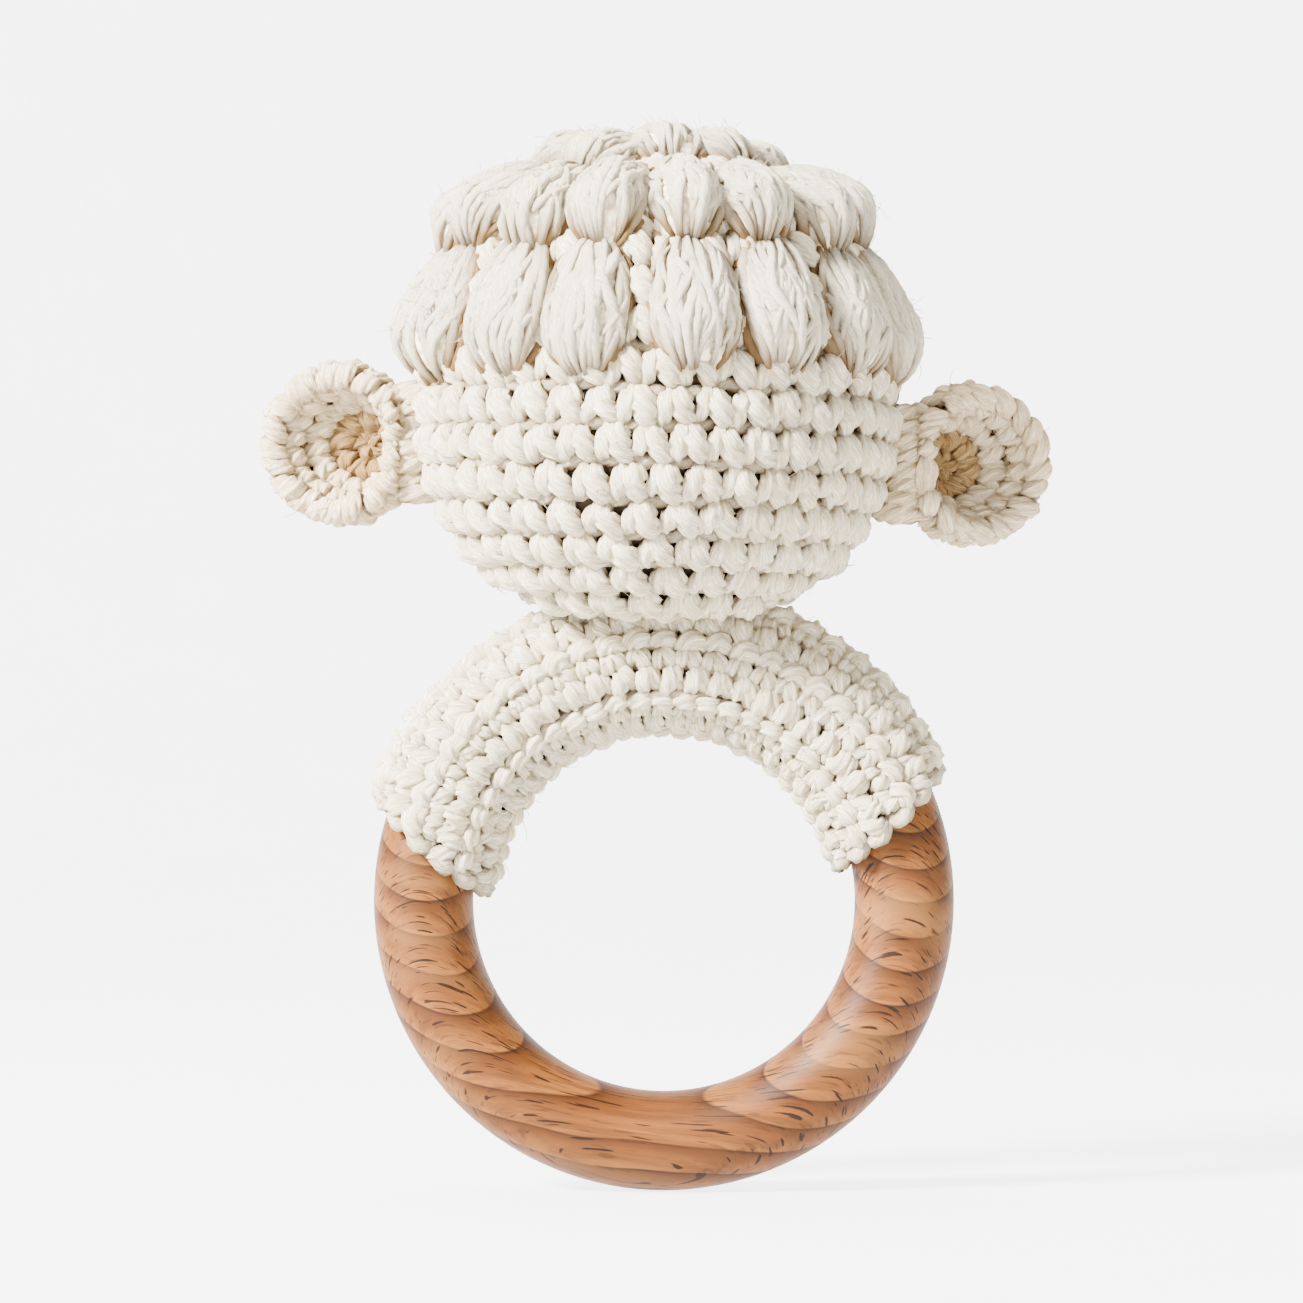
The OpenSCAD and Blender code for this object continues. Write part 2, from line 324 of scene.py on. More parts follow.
def stitch_part(yarn, controls, widths, cells, surface, mirror, sides=24):
    """Lays one part of a stitch on every cell. A cell is (angle, angle step, s at the foot, s step, mm across)."""
    n = len(cells)
    shape = np.repeat(controls[None], n, axis=0)
    shape = shape + rng.normal(0, 1, shape.shape) * JITTER
    shape[..., 1] += 0.04 * rng.normal(size=(n, 1))
    if mirror:
        shape[..., 0] = 1 - shape[..., 0]
    size = (cells[:, 4:5] / STITCH_W) ** 0.7
    path = spline(shape, RINGS)
    wide = spline(np.repeat(widths[None, :, None], n, axis=0), RINGS)[..., 0]
    wide = wide * rng.normal(1, 0.07, (n, 1))
    angle = cells[:, 0:1] + path[..., 0] * cells[:, 1:2]
    s = cells[:, 2:3] + path[..., 1] * cells[:, 3:4]
    point, normal = surface(angle, s, path[..., 2])
    yarn.add(point, normal, wide * size, wide * FLATNESS * np.sqrt(size), path[..., 2], sides=sides)


def plain_stitches(yarn, cells, surface, mirror=False):
    """A row seen from its right side: two slanted legs under a loop."""
    stitch_part(yarn, LEFT_LEG, LEFT_W, cells, surface, mirror)
    stitch_part(yarn, RIGHT_LEG, RIGHT_W, cells, surface, mirror)
    stitch_part(yarn, TOP_LOOP, LOOP_W, cells, surface, mirror, LOOP_SIDES)


def turned_stitches(yarn, cells, surface, mirror=False):
    """A row seen from its wrong side: a fat bump over two short legs."""
    stitch_part(yarn, BUMP, BUMP_W, cells, surface, mirror)
    stitch_part(yarn, BUMP_LEFT, FOOT_W, cells, surface, mirror)
    stitch_part(yarn, BUMP_RIGHT, FOOT_W, cells, surface, mirror)
    stitch_part(yarn, TOP_LOOP, LOOP_W, cells, surface, mirror, LOOP_SIDES)


def round_cells(surface, s_foot, s_step, count, start=0.0, spiral=0.0):
    """The cells of one round on a turned surface, from its foot at s_foot; spiral drops it over the turn."""
    step = TURN / count
    angle = -math.pi + start + step * np.arange(count)
    foot = s_foot + spiral * angle / TURN
    across = step * surface.at("r", foot + s_step / 2)
    return np.stack([angle, np.full(count, step), foot, np.full(count, s_step), across], -1)


# ---------------------------------------------------------------- materials

def linear(rgb):
    """sRGB from 0 to 255 as a linear colour."""
    c = np.array(rgb, float) / 255
    return (*np.where(c <= 0.04045, c / 12.92, ((c + 0.055) / 1.055) ** 2.4), 1.0)


class Nodes:
    """A short way to write a material's nodes."""

    def __init__(self, name):
        self.material = bpy.data.materials.new(name)
        self.material.use_nodes = True
        self.tree = self.material.node_tree
        self.shader = self.tree.nodes["Principled BSDF"]

    def node(self, kind, inputs=None, **settings):
        n = self.tree.nodes.new(kind)
        for key, value in settings.items():
            setattr(n, key, value)
        for key, value in (inputs or {}).items():
            self.put(n.inputs[key], value)
        return n

    def put(self, socket, value):
        if isinstance(value, bpy.types.NodeSocket):
            self.tree.links.new(value, socket)
        else:
            socket.default_value = value

    def math(self, operation, *values):
        n = self.node("ShaderNodeMath", operation=operation)
        for socket, value in zip(n.inputs, values):
            self.put(socket, value)
        return n.outputs[0]

    def scaled(self, vector, scale):
        return self.node("ShaderNodeVectorMath", {0: vector, 1: scale}, operation="MULTIPLY").outputs[0]

    def noise(self, vector, scale, detail=3.0, rough=0.5):
        return self.node("ShaderNodeTexNoise", {
            "Vector": vector, "Scale": scale, "Detail": detail, "Roughness": rough}).outputs["Fac"]

    def ramp(self, value, *stops):
        n = self.node("ShaderNodeValToRGB", {"Fac": value})
        points = n.color_ramp.elements
        while len(points) < len(stops):
            points.new(0.5)
        for point, (at, colour) in zip(points, stops):
            point.position = at
            point.color = colour
        return n.outputs["Color"]

    def mix(self, factor, a, b):
        n = self.node("ShaderNodeMix", data_type="RGBA")
        for key, value in ((0, factor), (6, a), (7, b)):
            self.put(n.inputs[key], value)
        return n.outputs[2]

    def bump(self, height, strength, distance):
        self.put(self.shader.inputs["Normal"], self.node("ShaderNodeBump", {
            "Height": height, "Strength": strength, "Distance": distance}).outputs[0])

    def set(self, **values):
        for key, value in values.items():
            self.put(self.shader.inputs[key.replace("_", " ")], value)


def yarn_material(name, light, shade, deep):
    """Undyed cotton: fibre streaks run along the twist, and the colour is painted darker down into the fabric, as
    the shade in the creases.
    """
    m = Nodes(name)
    mark = m.node("ShaderNodeAttribute", attribute_name="yarn").outputs["Vector"]
    hollow = m.node("ShaderNodeAttribute", attribute_name="hollow").outputs["Fac"]
    place = m.node("ShaderNodeTexCoord").outputs["Object"]
    streak = m.noise(m.scaled(mark, (2.6, 2.6, 0.35)), 2.2, 4.0, 0.6)
    fine = m.noise(m.scaled(mark, (6.0, 6.0, 0.7)), 2.4, 3.0, 0.6)
    patch = m.noise(place, 160.0, 2.0)
    colour = m.ramp(streak, (0.38, linear(shade)), (0.58, linear(light)))
    colour = m.mix(m.ramp(fine, (0.40, (0.9, 0.9, 0.9, 1)), (0.50, (0, 0, 0, 1))), colour, linear(shade))
    colour = m.mix(m.ramp(patch, (0.35, (0.3, 0.3, 0.3, 1)), (0.65, (0, 0, 0, 1))), colour, linear(shade))
    # Painted crease shade: the deep colour is mixed in where the yarn lies down between the stitches
    colour = m.mix(m.ramp(hollow, (0.15, (0, 0, 0, 1)), (0.55, (0.6, 0.6, 0.6, 1)), (0.9, (1, 1, 1, 1))),
                   colour, linear(deep))
    m.set(Base_Color=colour, Roughness=0.92, Sheen_Weight=0.04, Sheen_Roughness=0.5, Specular_IOR_Level=0.08)
    m.bump(m.math("ADD", streak, m.math("MULTIPLY", fine, 0.8)), 1.0, 0.0006)
    return m.material


def shadow_material(name, light, dark):
    """Painted shadow: a sheet or body under the stitches, coloured dark as the shade seen between them."""
    m = Nodes(name)
    place = m.node("ShaderNodeTexCoord").outputs["Object"]
    patch = m.noise(place, 900.0, 3.0)
    m.set(Base_Color=m.ramp(patch, (0.35, linear(dark)), (0.65, linear(light))), Roughness=0.95)
    m.bump(patch, 0.5, 0.0004)
    return m.material


def beech_material():
    """Beech: growth layers lean back, so they cross the round bar as stacked arcs; short dark ray flecks."""
    m = Nodes("beech")
    place = m.node("ShaderNodeTexCoord").outputs["Object"]
    split = m.node("ShaderNodeSeparateXYZ", {0: place})
    x, y, z = (split.outputs[i] for i in range(3))
    layer_t = 0.0042
    wander = m.math("MULTIPLY", m.math("SUBTRACT", m.noise(place, 38.0, 2.0), 0.5), layer_t)
    level = m.math("ADD", m.math("ADD", z, m.math("MULTIPLY", x, math.tan(math.radians(8)))),
                   m.math("ADD", m.math("MULTIPLY", y, -0.65), wander))
    layer = m.math("FRACT", m.math("MULTIPLY", level, 1 / layer_t))
    grain = m.node("ShaderNodeVectorRotate", {"Vector": place, "Angle": math.radians(-8)},
                   rotation_type="Y_AXIS").outputs[0]
    rays = m.node("ShaderNodeVectorRotate", {"Vector": grain, "Angle": math.radians(-33)},
                  rotation_type="X_AXIS").outputs[0]
    fibre = m.noise(m.scaled(rays, (45, 1300, 500)), 1.0, 4.0, 0.65)
    broad = m.noise(m.scaled(grain, (16, 130, 130)), 1.0, 2.0)
    flecks = m.noise(m.scaled(rays, (150, 3600, 460)), 1.0, 1.0)
    pores = m.noise(m.scaled(rays, (240, 4200, 700)), 1.0, 1.0)
    wood = m.ramp(layer, (0.0, linear((110, 66, 26))), (0.55, linear((88, 49, 16))),
                  (0.86, linear((63, 33, 8))), (0.95, linear((37, 16, 4))), (1.0, linear((110, 66, 26))))
    wood = m.mix(m.ramp(fibre, (0.36, (0.65, 0.65, 0.65, 1)), (0.60, (0, 0, 0, 1))), wood, linear((60, 31, 8)))
    wood = m.mix(m.ramp(broad, (0.48, (0, 0, 0, 1)), (0.72, (0.6, 0.6, 0.6, 1))), wood, linear((131, 88, 45)))
    wood = m.mix(m.ramp(flecks, (0.635, (0, 0, 0, 1)), (0.665, (0.95, 0.95, 0.95, 1))), wood, linear((22, 8, 2)))
    wood = m.mix(m.ramp(pores, (0.62, (0, 0, 0, 1)), (0.68, (0.45, 0.45, 0.45, 1))), wood, linear((38, 17, 4)))
    m.set(Base_Color=wood, Roughness=m.math("ADD", m.math("MULTIPLY", fibre, 0.18), 0.42),
          Specular_IOR_Level=0.12)
    m.bump(m.math("SUBTRACT", m.math("MULTIPLY", fibre, 0.6), m.math("MULTIPLY", flecks, 0.5)), 0.25, 0.0002)
    return m.material


def plastic_material(name, colour, shade):
    """Moulded plastic with a faint grain."""
    m = Nodes(name)
    place = m.node("ShaderNodeTexCoord").outputs["Object"]
    grain = m.noise(place, 1800.0, 3.0)
    m.set(Base_Color=m.ramp(grain, (0.3, linear(shade)), (0.7, linear(colour))),
          Roughness=m.math("ADD", m.math("MULTIPLY", grain, 0.2), 0.35))
    m.bump(grain, 0.2, 0.0001)
    return m.material


def filling_material():
    """Loose white fibre."""
    m = Nodes("fibre_filling")
    place = m.node("ShaderNodeTexCoord").outputs["Object"]
    fibre = m.noise(m.scaled(place, (300, 900, 700)), 1.0, 5.0, 0.7)
    m.set(Base_Color=m.ramp(fibre, (0.3, linear((226, 224, 220))), (0.7, linear((250, 250, 248)))),
          Roughness=0.95, Sheen_Weight=0.3)
    m.bump(fibre, 0.7, 0.0008)
    return m.material


# The third colour of each yarn is the painted crease shade that it is mixed to down in the fabric
CREAM = yarn_material("cream_yarn", (255, 246, 222), (208, 188, 146), (106, 74, 36))
WHITE = yarn_material("curl_yarn", (255, 250, 230), (222, 204, 166), (134, 102, 60))
EAR = yarn_material("ear_yarn", (250, 234, 202), (208, 180, 134), (100, 64, 26))
# Yarn of the ear's cup, painted darker all over as the shade at the bottom of the bowl
EAR_CUP_SHADE = yarn_material("ear_cup_yarn_painted_shade", (196, 162, 110), (138, 102, 54), (48, 25, 6))
# Curl bodies are painted darker than the curl yarn, as the shade seen between the strands
CURL_CORE_SHADE = shadow_material("curl_core", (226, 214, 190), (168, 146, 110))
# Dark sheets under the stitches: painted shadow, seen through the gaps between stitches
GAP_SHADOW = shadow_material("gap_painted_shadow", (62, 48, 26), (34, 25, 12))
EAR_GAP_SHADOW = shadow_material("ear_gap_painted_shadow", (60, 38, 16), (30, 17, 6))
BEECH = beech_material()
FILLING = filling_material()


# ---------------------------------------------------------------- the head

FACE_TOP_Z = 60.6
LINING_INSET = 0.35
FILLING_INSET = 1.7


def head_rounds():
    """Plain rounds of the face, worked in a spiral from under the curls down to the neck."""
    foot = down_to(FACE_TOP_Z)
    last = down_to(BASE_Z + 0.4) + 6.0
    index = 0
    while foot < last:
        yarn = Yarn()
        count = max(12, round(TURN * ball.at("r", foot - ROW_H / 2) / STITCH_W / 2) * 2)
        cells = round_cells(ball, foot, -ROW_H, count, start=0.37 * index * TURN / count, spiral=ROW_H)
        plain_stitches(yarn, cells, ball)
        piece = yarn.piece(f"head_round_{index + 1}", CREAM)
        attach(piece, "head")
        if index == 0:
            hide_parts("head_cover")
        foot += ROW_H
        index += 1


def turned_solid(name, surface, inset, material, cols=96, lumps=0.0):
    """A closed solid of revolution, a little inside a surface, with rows a millimetre apart."""
    s = np.arange(0, surface.s[-1] + 0.5, 1.0)
    s[-1] = surface.s[-1]
    inner = s[1:-1]
    a = np.linspace(-math.pi, math.pi, cols, endpoint=False)
    grid_s, grid_a = np.meshgrid(inner, a, indexing="ij")
    lift = -inset + lumps * (np.sin(5 * grid_a + grid_s) + np.sin(9 * grid_a - 0.7 * grid_s))
    points, _ = surface(grid_a, grid_s, lift)
    ends, _ = surface(np.zeros(2), np.array([0.0, surface.s[-1]]), np.full(2, -inset))
    points = np.concatenate([points.reshape(-1, 3), ends])
    quads = grid_faces(len(inner), cols)
    j = np.arange(cols)
    k = (j + 1) % cols
    first, last = len(points) - 2, len(points) - 1
    base = (len(inner) - 1) * cols
    tris = np.concatenate([np.stack([np.full(cols, first), j, k], -1),
                           np.stack([np.full(cols, last), base + k, base + j], -1)])
    return mesh_piece(name, points, quads, tris, material)


def head_inside():
    """The closed layer under the stitches, which closes the gaps between them and is painted dark as the shadow
    seen there, and the filling inside it.
    """
    lining = turned_solid("head_lining", ball, LINING_INSET, GAP_SHADOW)
    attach(lining, "head")
    filling = turned_solid("head_filling", ball, FILLING_INSET, FILLING, lumps=0.12)
    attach(filling, "head")
    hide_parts("head_stuffing")


# ---------------------------------------------------------------- the curls

def curl_frame(angle, z):
    """Where a curl sits: its middle on the ball, and its outward, downward and sideways directions."""
    s = down_to(z)
    step = 0.5
    angles = np.full(2, angle)
    points, normals = ball(angles, np.array([s - step, s + step]), np.zeros(2))
    down = unit(points[1] - points[0])
    out = unit(normals.mean(0))
    return points.mean(0), out, down, np.cross(down, out)


def curl_point(spot, t, turn, length, width, thick, lift):
    """Points and outward directions on a curl: t runs from its top to its foot, and turn goes round it from
    the outside."""
    middle, out, down, side = spot
    full = np.maximum(1 - np.abs(2 * t - 1) ** 2.9, 0.0) ** 0.5 * (0.78 + 0.22 * np.sin(math.pi * t ** 1.7))
    spread = full + (1 - full) * (0.30 + 0.14 * t)
    across = (width / 2 * spread + lift) * np.sin(turn)
    outward = (thick * full * (0.74 + 0.40 * t) + lift) * np.cos(turn)
    along = (t - 0.5) * (length + 1.4 * lift)
    point = middle + down * along[..., None] + side * across[..., None] + out * outward[..., None]
    facing = side * (np.sin(turn) * thick)[..., None] + out * (np.cos(turn) * width / 2)[..., None]
    return point, unit(facing + down * (1.1 * width * (t - 0.5) ** 3)[..., None])


def curl(yarn, angle, z, length, width, thick, strands=23, rings=22):
    """A bobble: many loops of yarn drawn up side by side, gathered at the top and full at the foot."""
    spot = curl_frame(angle, z)
    lean = math.radians(rng.uniform(-16, 16))
    ends = np.sin(np.linspace(0.16, math.pi - 0.16, rings)) ** 0.35
    t = np.linspace(0.01, 0.99, rings)
    for place in np.radians(np.linspace(-116, 116, strands)):
        sway = rng.normal(0, 0.13) * np.sin(TURN * t * rng.uniform(0.6, 1.4) + rng.uniform(0, TURN))
        turn = place + rng.normal(0, 0.06) + (lean + rng.normal(0, 0.32)) * (t - 0.5) + sway
        lift = -0.60 + rng.normal(0, 0.13) + rng.normal(0, 0.12) * np.sin(TURN * t + rng.uniform(0, TURN))
        point, facing = curl_point(spot, t, turn, length * rng.normal(1, 0.03), width, thick, lift)
        half = rng.normal(0.74, 0.09) * ends * (0.8 + 0.2 * np.sin(math.pi * t))
        # The curl's strands get painted crease shade at their sides and foot
        yarn.add(point[None], facing[None], half[None], 0.85 * half[None], curl_shade_height(t, turn, lift)[None],
                 sides=10, plies=3, ply=0.12, pitch=7.0)


def curl_shade_height(t, turn, lift):
    """How high a curl's yarn counts for its painted crease shade: its sides and its foot lie in the creases and are
    painted darker.
    """
    return 1.75 + lift - 2.0 * (np.abs(turn) / math.radians(80)) ** 2.5 - 1.5 * np.abs(2 * t - 1) ** 5


def curl_core(angle, z, length, width, thick, rings=20, cols=24):
    """The closed body under a curl's strands, as a grid of points from its top to its foot."""
    spot = curl_frame(angle, z)
    around = np.linspace(0, TURN, cols, endpoint=False)
    t, turn = np.meshgrid(np.linspace(0.01, 0.99, rings), around, indexing="ij")
    point, _ = curl_point(spot, t, turn, length, width, thick, -0.75 + 0.15 * np.sin(9 * turn + 5 * t))
    return point


def curl_wraps(yarn, angle, z, length, width, thick, wraps=24):
    """Finer strands that cross a curl at a slant."""
    spot = curl_frame(angle, z)
    rings = 14
    share = np.linspace(0, 1, rings)
    for _ in range(wraps):
        reach = rng.uniform(0.25, 0.5)
        t = rng.uniform(0.04, 0.94 - reach) + reach * share
        turn = np.radians(rng.uniform(-70, 70) + rng.choice([-1, 1]) * rng.uniform(15, 50) * (share - 0.5))
        lift = -0.85 + 0.62 * np.sin(math.pi * share) ** 0.5
        point, facing = curl_point(spot, t, turn, length, width, thick, lift)
        half = rng.normal(0.50, 0.07) * np.sin(np.linspace(0.2, math.pi - 0.2, rings)) ** 0.5
        # How much painted crease shade the wrapping strands get, a little less than the curl's own strands
        depth = curl_shade_height(t, turn, lift) + 0.2
        yarn.add(point[None], facing[None], half[None], 0.8 * half[None], depth[None],
                 sides=8, plies=2, ply=0.12, pitch=6.0)


CURL_TURN = math.radians(8)
CURLS = (
    # node, count, height of the middle, length, width, thickness
    ("curl_round_lower", 15, 70.7, 17.6, 11.3, 5.5),
    ("curl_round_middle", 15, 82.1, 15.0, 9.9, 6.6),
    ("curl_round_upper", 8, 87.9, 13.6, 11.4, 4.9),
)


def curl_rounds():
    """Each round in three pieces, of every third curl, with the bodies under the strands as pieces of their own."""
    thirds = "abc"
    for node, count, z, length, width, thick in CURLS:
        for part, letter in enumerate(thirds):
            yarn = Yarn()
            cores = []
            for i in range(part, count, len(thirds)):
                angle = CURL_TURN + TURN * i / count + rng.normal(0, 0.02)
                spot = (angle, z + rng.normal(0, 0.5), length * rng.normal(1, 0.03),
                        width * rng.normal(1, 0.03), thick * rng.normal(1, 0.04))
                curl(yarn, *spot)
                curl_wraps(yarn, *spot)
                cores.append(curl_core(*spot))
            piece = yarn.piece(f"{node}_{letter}", WHITE, fuzz=0.016)
            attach(piece, "head")
            body = core_piece(f"{node}_core_{letter}", cores)
            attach(body, "head")
            if part == 0:
                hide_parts(node)


def core_piece(name, cores):
    """Closed bodies from grids of points, capped at both ends."""
    rows, cols = cores[0].shape[:2]
    points, quads, tris = [], [], []
    j = np.arange(cols)
    k = (j + 1) % cols
    last = (rows - 1) * cols
    for grid in cores:
        first = sum(len(p) for p in points)
        points.append(np.concatenate([grid.reshape(-1, 3), grid[0].mean(0)[None], grid[-1].mean(0)[None]]))
        quads.append(grid_faces(rows, cols) + first)
        top, foot = rows * cols, rows * cols + 1
        tris.append(np.concatenate([np.stack([np.full(cols, top), j, k], -1),
                                    np.stack([np.full(cols, foot), last + k, last + j], -1)]) + first)
    # The bodies are coloured darker than the curl yarn, as painted shade between the strands
    return mesh_piece(name, np.concatenate(points), np.concatenate(quads), np.concatenate(tris), CURL_CORE_SHADE)


RIDGE_HEIGHTS = (65.4, 70.0, 74.4, 78.4, 82.2, 85.6, 88.2)
RIDGE_H = 4.6


def ridge_rounds():
    """Plain stitches between the rounds of curls, and the closing stitches at the crown."""
    for number, z in enumerate(RIDGE_HEIGHTS, 1):
        yarn = Yarn()
        count = round(TURN * ball.at("r", down_to(z)) / STITCH_W)
        plain_stitches(yarn, round_cells(ball, down_to(z), -RIDGE_H, count, start=z), ball)
        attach(yarn.piece(f"ridge_{number}", CREAM), "head")
    yarn = Yarn()
    for foot, count in ((3.2, 7), (6.2, 12)):
        plain_stitches(yarn, round_cells(ball, foot, -3.4, count), ball)
    knot = yarn.piece("crown_stitches", WHITE)
    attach(knot, "head")
    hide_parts("crown_knot")


# ---------------------------------------------------------------- the sleeve

SLEEVE_REF = BAR_R + 1.2
SLEEVE_ROWS = 14
SLEEVE_STITCHES = 24
ROWS_A_PIECE = 2
FIRST_ROW_TURN = math.radians(3.5)
# The angles round the ring where each end is cut, at the outside and the inside of the ring
END_ANGLES = {"right": (27.0, 14.0), "left": (158.0, 174.0)}


def sleeve_end(which, b):
    """The angle round the ring where the sleeve ends, which slants from outside to inside."""
    outer, inner = END_ANGLES[which]
    return np.radians(inner + (outer - inner) * (1 + np.cos(b)) / 2)


def sleeve_surface(a, s, lift):
    return sleeve_point(a, s, SLEEVE_REF + lift)


def sleeve_rows():
    """Rows along the bar, by turns from their right side and their wrong side, as flat crochet has them."""
    step_b = TURN / SLEEVE_ROWS
    first_b = FIRST_ROW_TURN - step_b * SLEEVE_ROWS / 2
    for start in range(0, SLEEVE_ROWS, ROWS_A_PIECE):
        yarn = Yarn()
        for row in range(start, start + ROWS_A_PIECE):
            foot = first_b + math.pi / 2 + row * step_b
            b_mid = foot + step_b / 2
            right, left = sleeve_end("right", b_mid), sleeve_end("left", b_mid)
            step = (left - right) / SLEEVE_STITCHES
            index = np.arange(SLEEVE_STITCHES)
            angle = left - step * index
            across = step * (RING_MID + (SLEEVE_REF + 1) * math.cos(b_mid))
            ones = np.ones(SLEEVE_STITCHES)
            cells = np.stack([angle, -step * ones, (foot + step_b) * ones, -step_b * ones, across * ones], -1)
            maker = plain_stitches if row % 2 else turned_stitches
            maker(yarn, cells, sleeve_surface, mirror=bool(row % 4 // 2))
            edge_loops(yarn, foot, step_b)
        piece = yarn.piece(f"sleeve_rows_{start // ROWS_A_PIECE + 1}", CREAM)
        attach(piece, "sleeve")
        if start == 0:
            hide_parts("ring_sleeve", "sleeve_seam")


def edge_loops(yarn, foot, step_b):
    """The turning loops at a row's two ends, which make the wavy edge."""
    t = np.linspace(-0.15, 1.15, 12)
    b = foot + t * step_b
    for which, out in (("right", -1), ("left", 1)):
        swell = 0.9 * np.sin(math.pi * np.clip(t, 0, 1)) + rng.normal(0, 0.08)
        radius = RING_MID + SLEEVE_REF * np.cos(b)
        a = sleeve_end(which, b) + out * swell / radius
        lift = 0.55 * np.sin(math.pi * np.clip(t, 0, 1)) - 0.1
        point, normal = sleeve_point(a, b, SLEEVE_REF + lift)
        half = 0.35 + 0.75 * np.sin(math.pi * np.clip((t + 0.15) / 1.3, 0, 1))
        yarn.add(point[None], normal[None], half[None], 0.85 * half[None], sides=12)


def sleeve_lining():
    """The closed inner layer of the sleeve, just off the wood, painted dark as the shadow seen between the
    stitches.
    """
    rows, cols = 90, 64
    b = np.linspace(0, TURN, cols, endpoint=False)
    share = np.linspace(0, 1, rows)
    grid_t, grid_b = np.meshgrid(share, b, indexing="ij")
    right, left = sleeve_end("right", grid_b), sleeve_end("left", grid_b)
    inset = math.radians(0.8)
    a = right + inset + (left - right - 2 * inset) * grid_t
    outside, _ = sleeve_point(a, grid_b, np.full_like(a, SLEEVE_REF - 0.05))
    inside, _ = sleeve_point(a[::-1], grid_b, np.full_like(a, BAR_R + 0.32))
    points = np.concatenate([outside.reshape(-1, 3), inside.reshape(-1, 3)])
    quads = grid_faces(2 * rows, cols, wrap_rows=True)
    lining = mesh_piece("sleeve_lining", points, quads[:, ::-1], np.zeros((0, 3), int), GAP_SHADOW)
    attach(lining, "sleeve")


# ---------------------------------------------------------------- the ears

EAR_R = 9.4
EAR_DEPTH = 7.0
EAR_REACH = 8.6
EAR_SUNK = 3.0
EAR_TURNS = {"left": math.radians(10), "right": math.radians(18)}
EAR_ROUND_H = 2.95
# How far the folded edge keeps off the head, and how much more it does per mm in front and behind,
# which is the room that the ear needs to flap
EAR_OFF = 0.95
EAR_OFF_FRONT = 0.36
EAR_OFF_BACK = 0.80


def ear_hinge(which):
    """The point where an ear is sewn on, and the direction along X that is outwards there."""
    return np.array(joints[f"ear_{which}_flap"]["pos_m"]) / MM, 1 if which == "right" else -1


def ear_place(which):
    """Maps an ear's own bowl, opening along -Y beside its hinge, to its place on the head."""
    hinge, out = ear_hinge(which)
    c, s = math.cos(EAR_TURNS[which]), math.sin(EAR_TURNS[which])

    def place(point, normal):
        def turned(v):
            x, y, z = v[..., 0], -v[..., 2], v[..., 1]
            return x, y, z

        x, y, z = turned(point)
        deep = np.clip(y / EAR_DEPTH, 0, 1)
        x, y = x + EAR_REACH - 4.0 * deep, y - EAR_SUNK
        z = z * (1 - 0.14 * np.exp(-(np.maximum(x, 0) / 4.5) ** 2))
        near = EAR_OFF + np.where(y > 0, EAR_OFF_BACK, EAR_OFF_FRONT) * np.abs(y)
        x = np.where(x < near, near + 0.15 * (x - near), x)
        nx, ny, nz = turned(normal)
        placed = np.stack([out * (c * x - s * y), s * x + c * y, z], -1) + hinge
        facing = np.stack([out * (c * nx - s * ny), s * nx + c * ny, nz], -1)
        return placed, facing

    return place


def bowl_outline(radius, depth):
    a = np.linspace(math.pi / 2, 0, 40)
    return np.stack([radius * np.cos(a), -depth * np.sin(a)], -1)


def ear(which):
    """An ear: stitches inside and outside the bowl, loops over its rim and a closed layer between them."""
    place = ear_place(which)
    mirrored = which == "left"
    inner = Turned(bowl_outline(EAR_R - 1.6, EAR_DEPTH - 1.2), place)
    outer = Turned(bowl_outline(EAR_R - 0.9, EAR_DEPTH - 0.4), place, flip=-1)
    layers = (
        # name, surface, material, rounds as the foot's distance from the middle and the number of stitches
        # The cup's rounds use yarn painted darker, as the shade at the bottom of the bowl
        ("cup", inner, EAR_CUP_SHADE, ((2.7, 5), (5.2, 8))),
        ("inside", inner, EAR, ((7.9, 13), (10.7, 17))),
        ("back", outer, EAR, ((3.2, 6), (6.2, 11), (9.2, 15), (12.0, 18))),
    )
    for name, surface, material, rounds in layers:
        yarn = Yarn()
        for foot, count in rounds:
            cells = round_cells(surface, foot, -EAR_ROUND_H, count, start=rng.uniform(0, 1))
            plain_stitches(yarn, cells, surface, mirror=mirrored)
        if name == "inside":
            rim_stitches(yarn, place)
        piece = yarn.piece(f"ear_{which}_{name}", material)
        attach(piece, f"ear_{which}")
        if name == "inside":
            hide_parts(f"ear_{which}")
    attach(ear_lining(which, inner, outer), f"ear_{which}")


def rim_stitches(yarn, place, count=21):
    """Fat loops over the rim, each from the inside to the outside of the bowl."""
    t = np.linspace(0, math.pi, 13)
    for i in range(count):
        a = TURN * i / count + rng.normal(0, 0.05)
        r = EAR_R - 1.3 - rng.normal(1.15, 0.12) * np.cos(t)
        h = -0.4 + rng.normal(1.3, 0.2) * np.sin(t)
        skew = a + rng.normal(0.32, 0.12) * (t / math.pi - 0.5)
        point = np.stack([r * np.sin(skew), -r * np.cos(skew), h], -1)
        normal = np.stack([-np.cos(t) * np.sin(skew), np.cos(t) * np.cos(skew), np.sin(t)], -1)
        point, normal = place(point, unit(normal))
        half = rng.normal(1.22, 0.10) * np.sin(np.linspace(0.3, math.pi - 0.3, 13)) ** 0.45
        lift = 0.9 * np.sin(t)
        yarn.add(point[None], normal[None], half[None], 0.72 * half[None], lift[None])


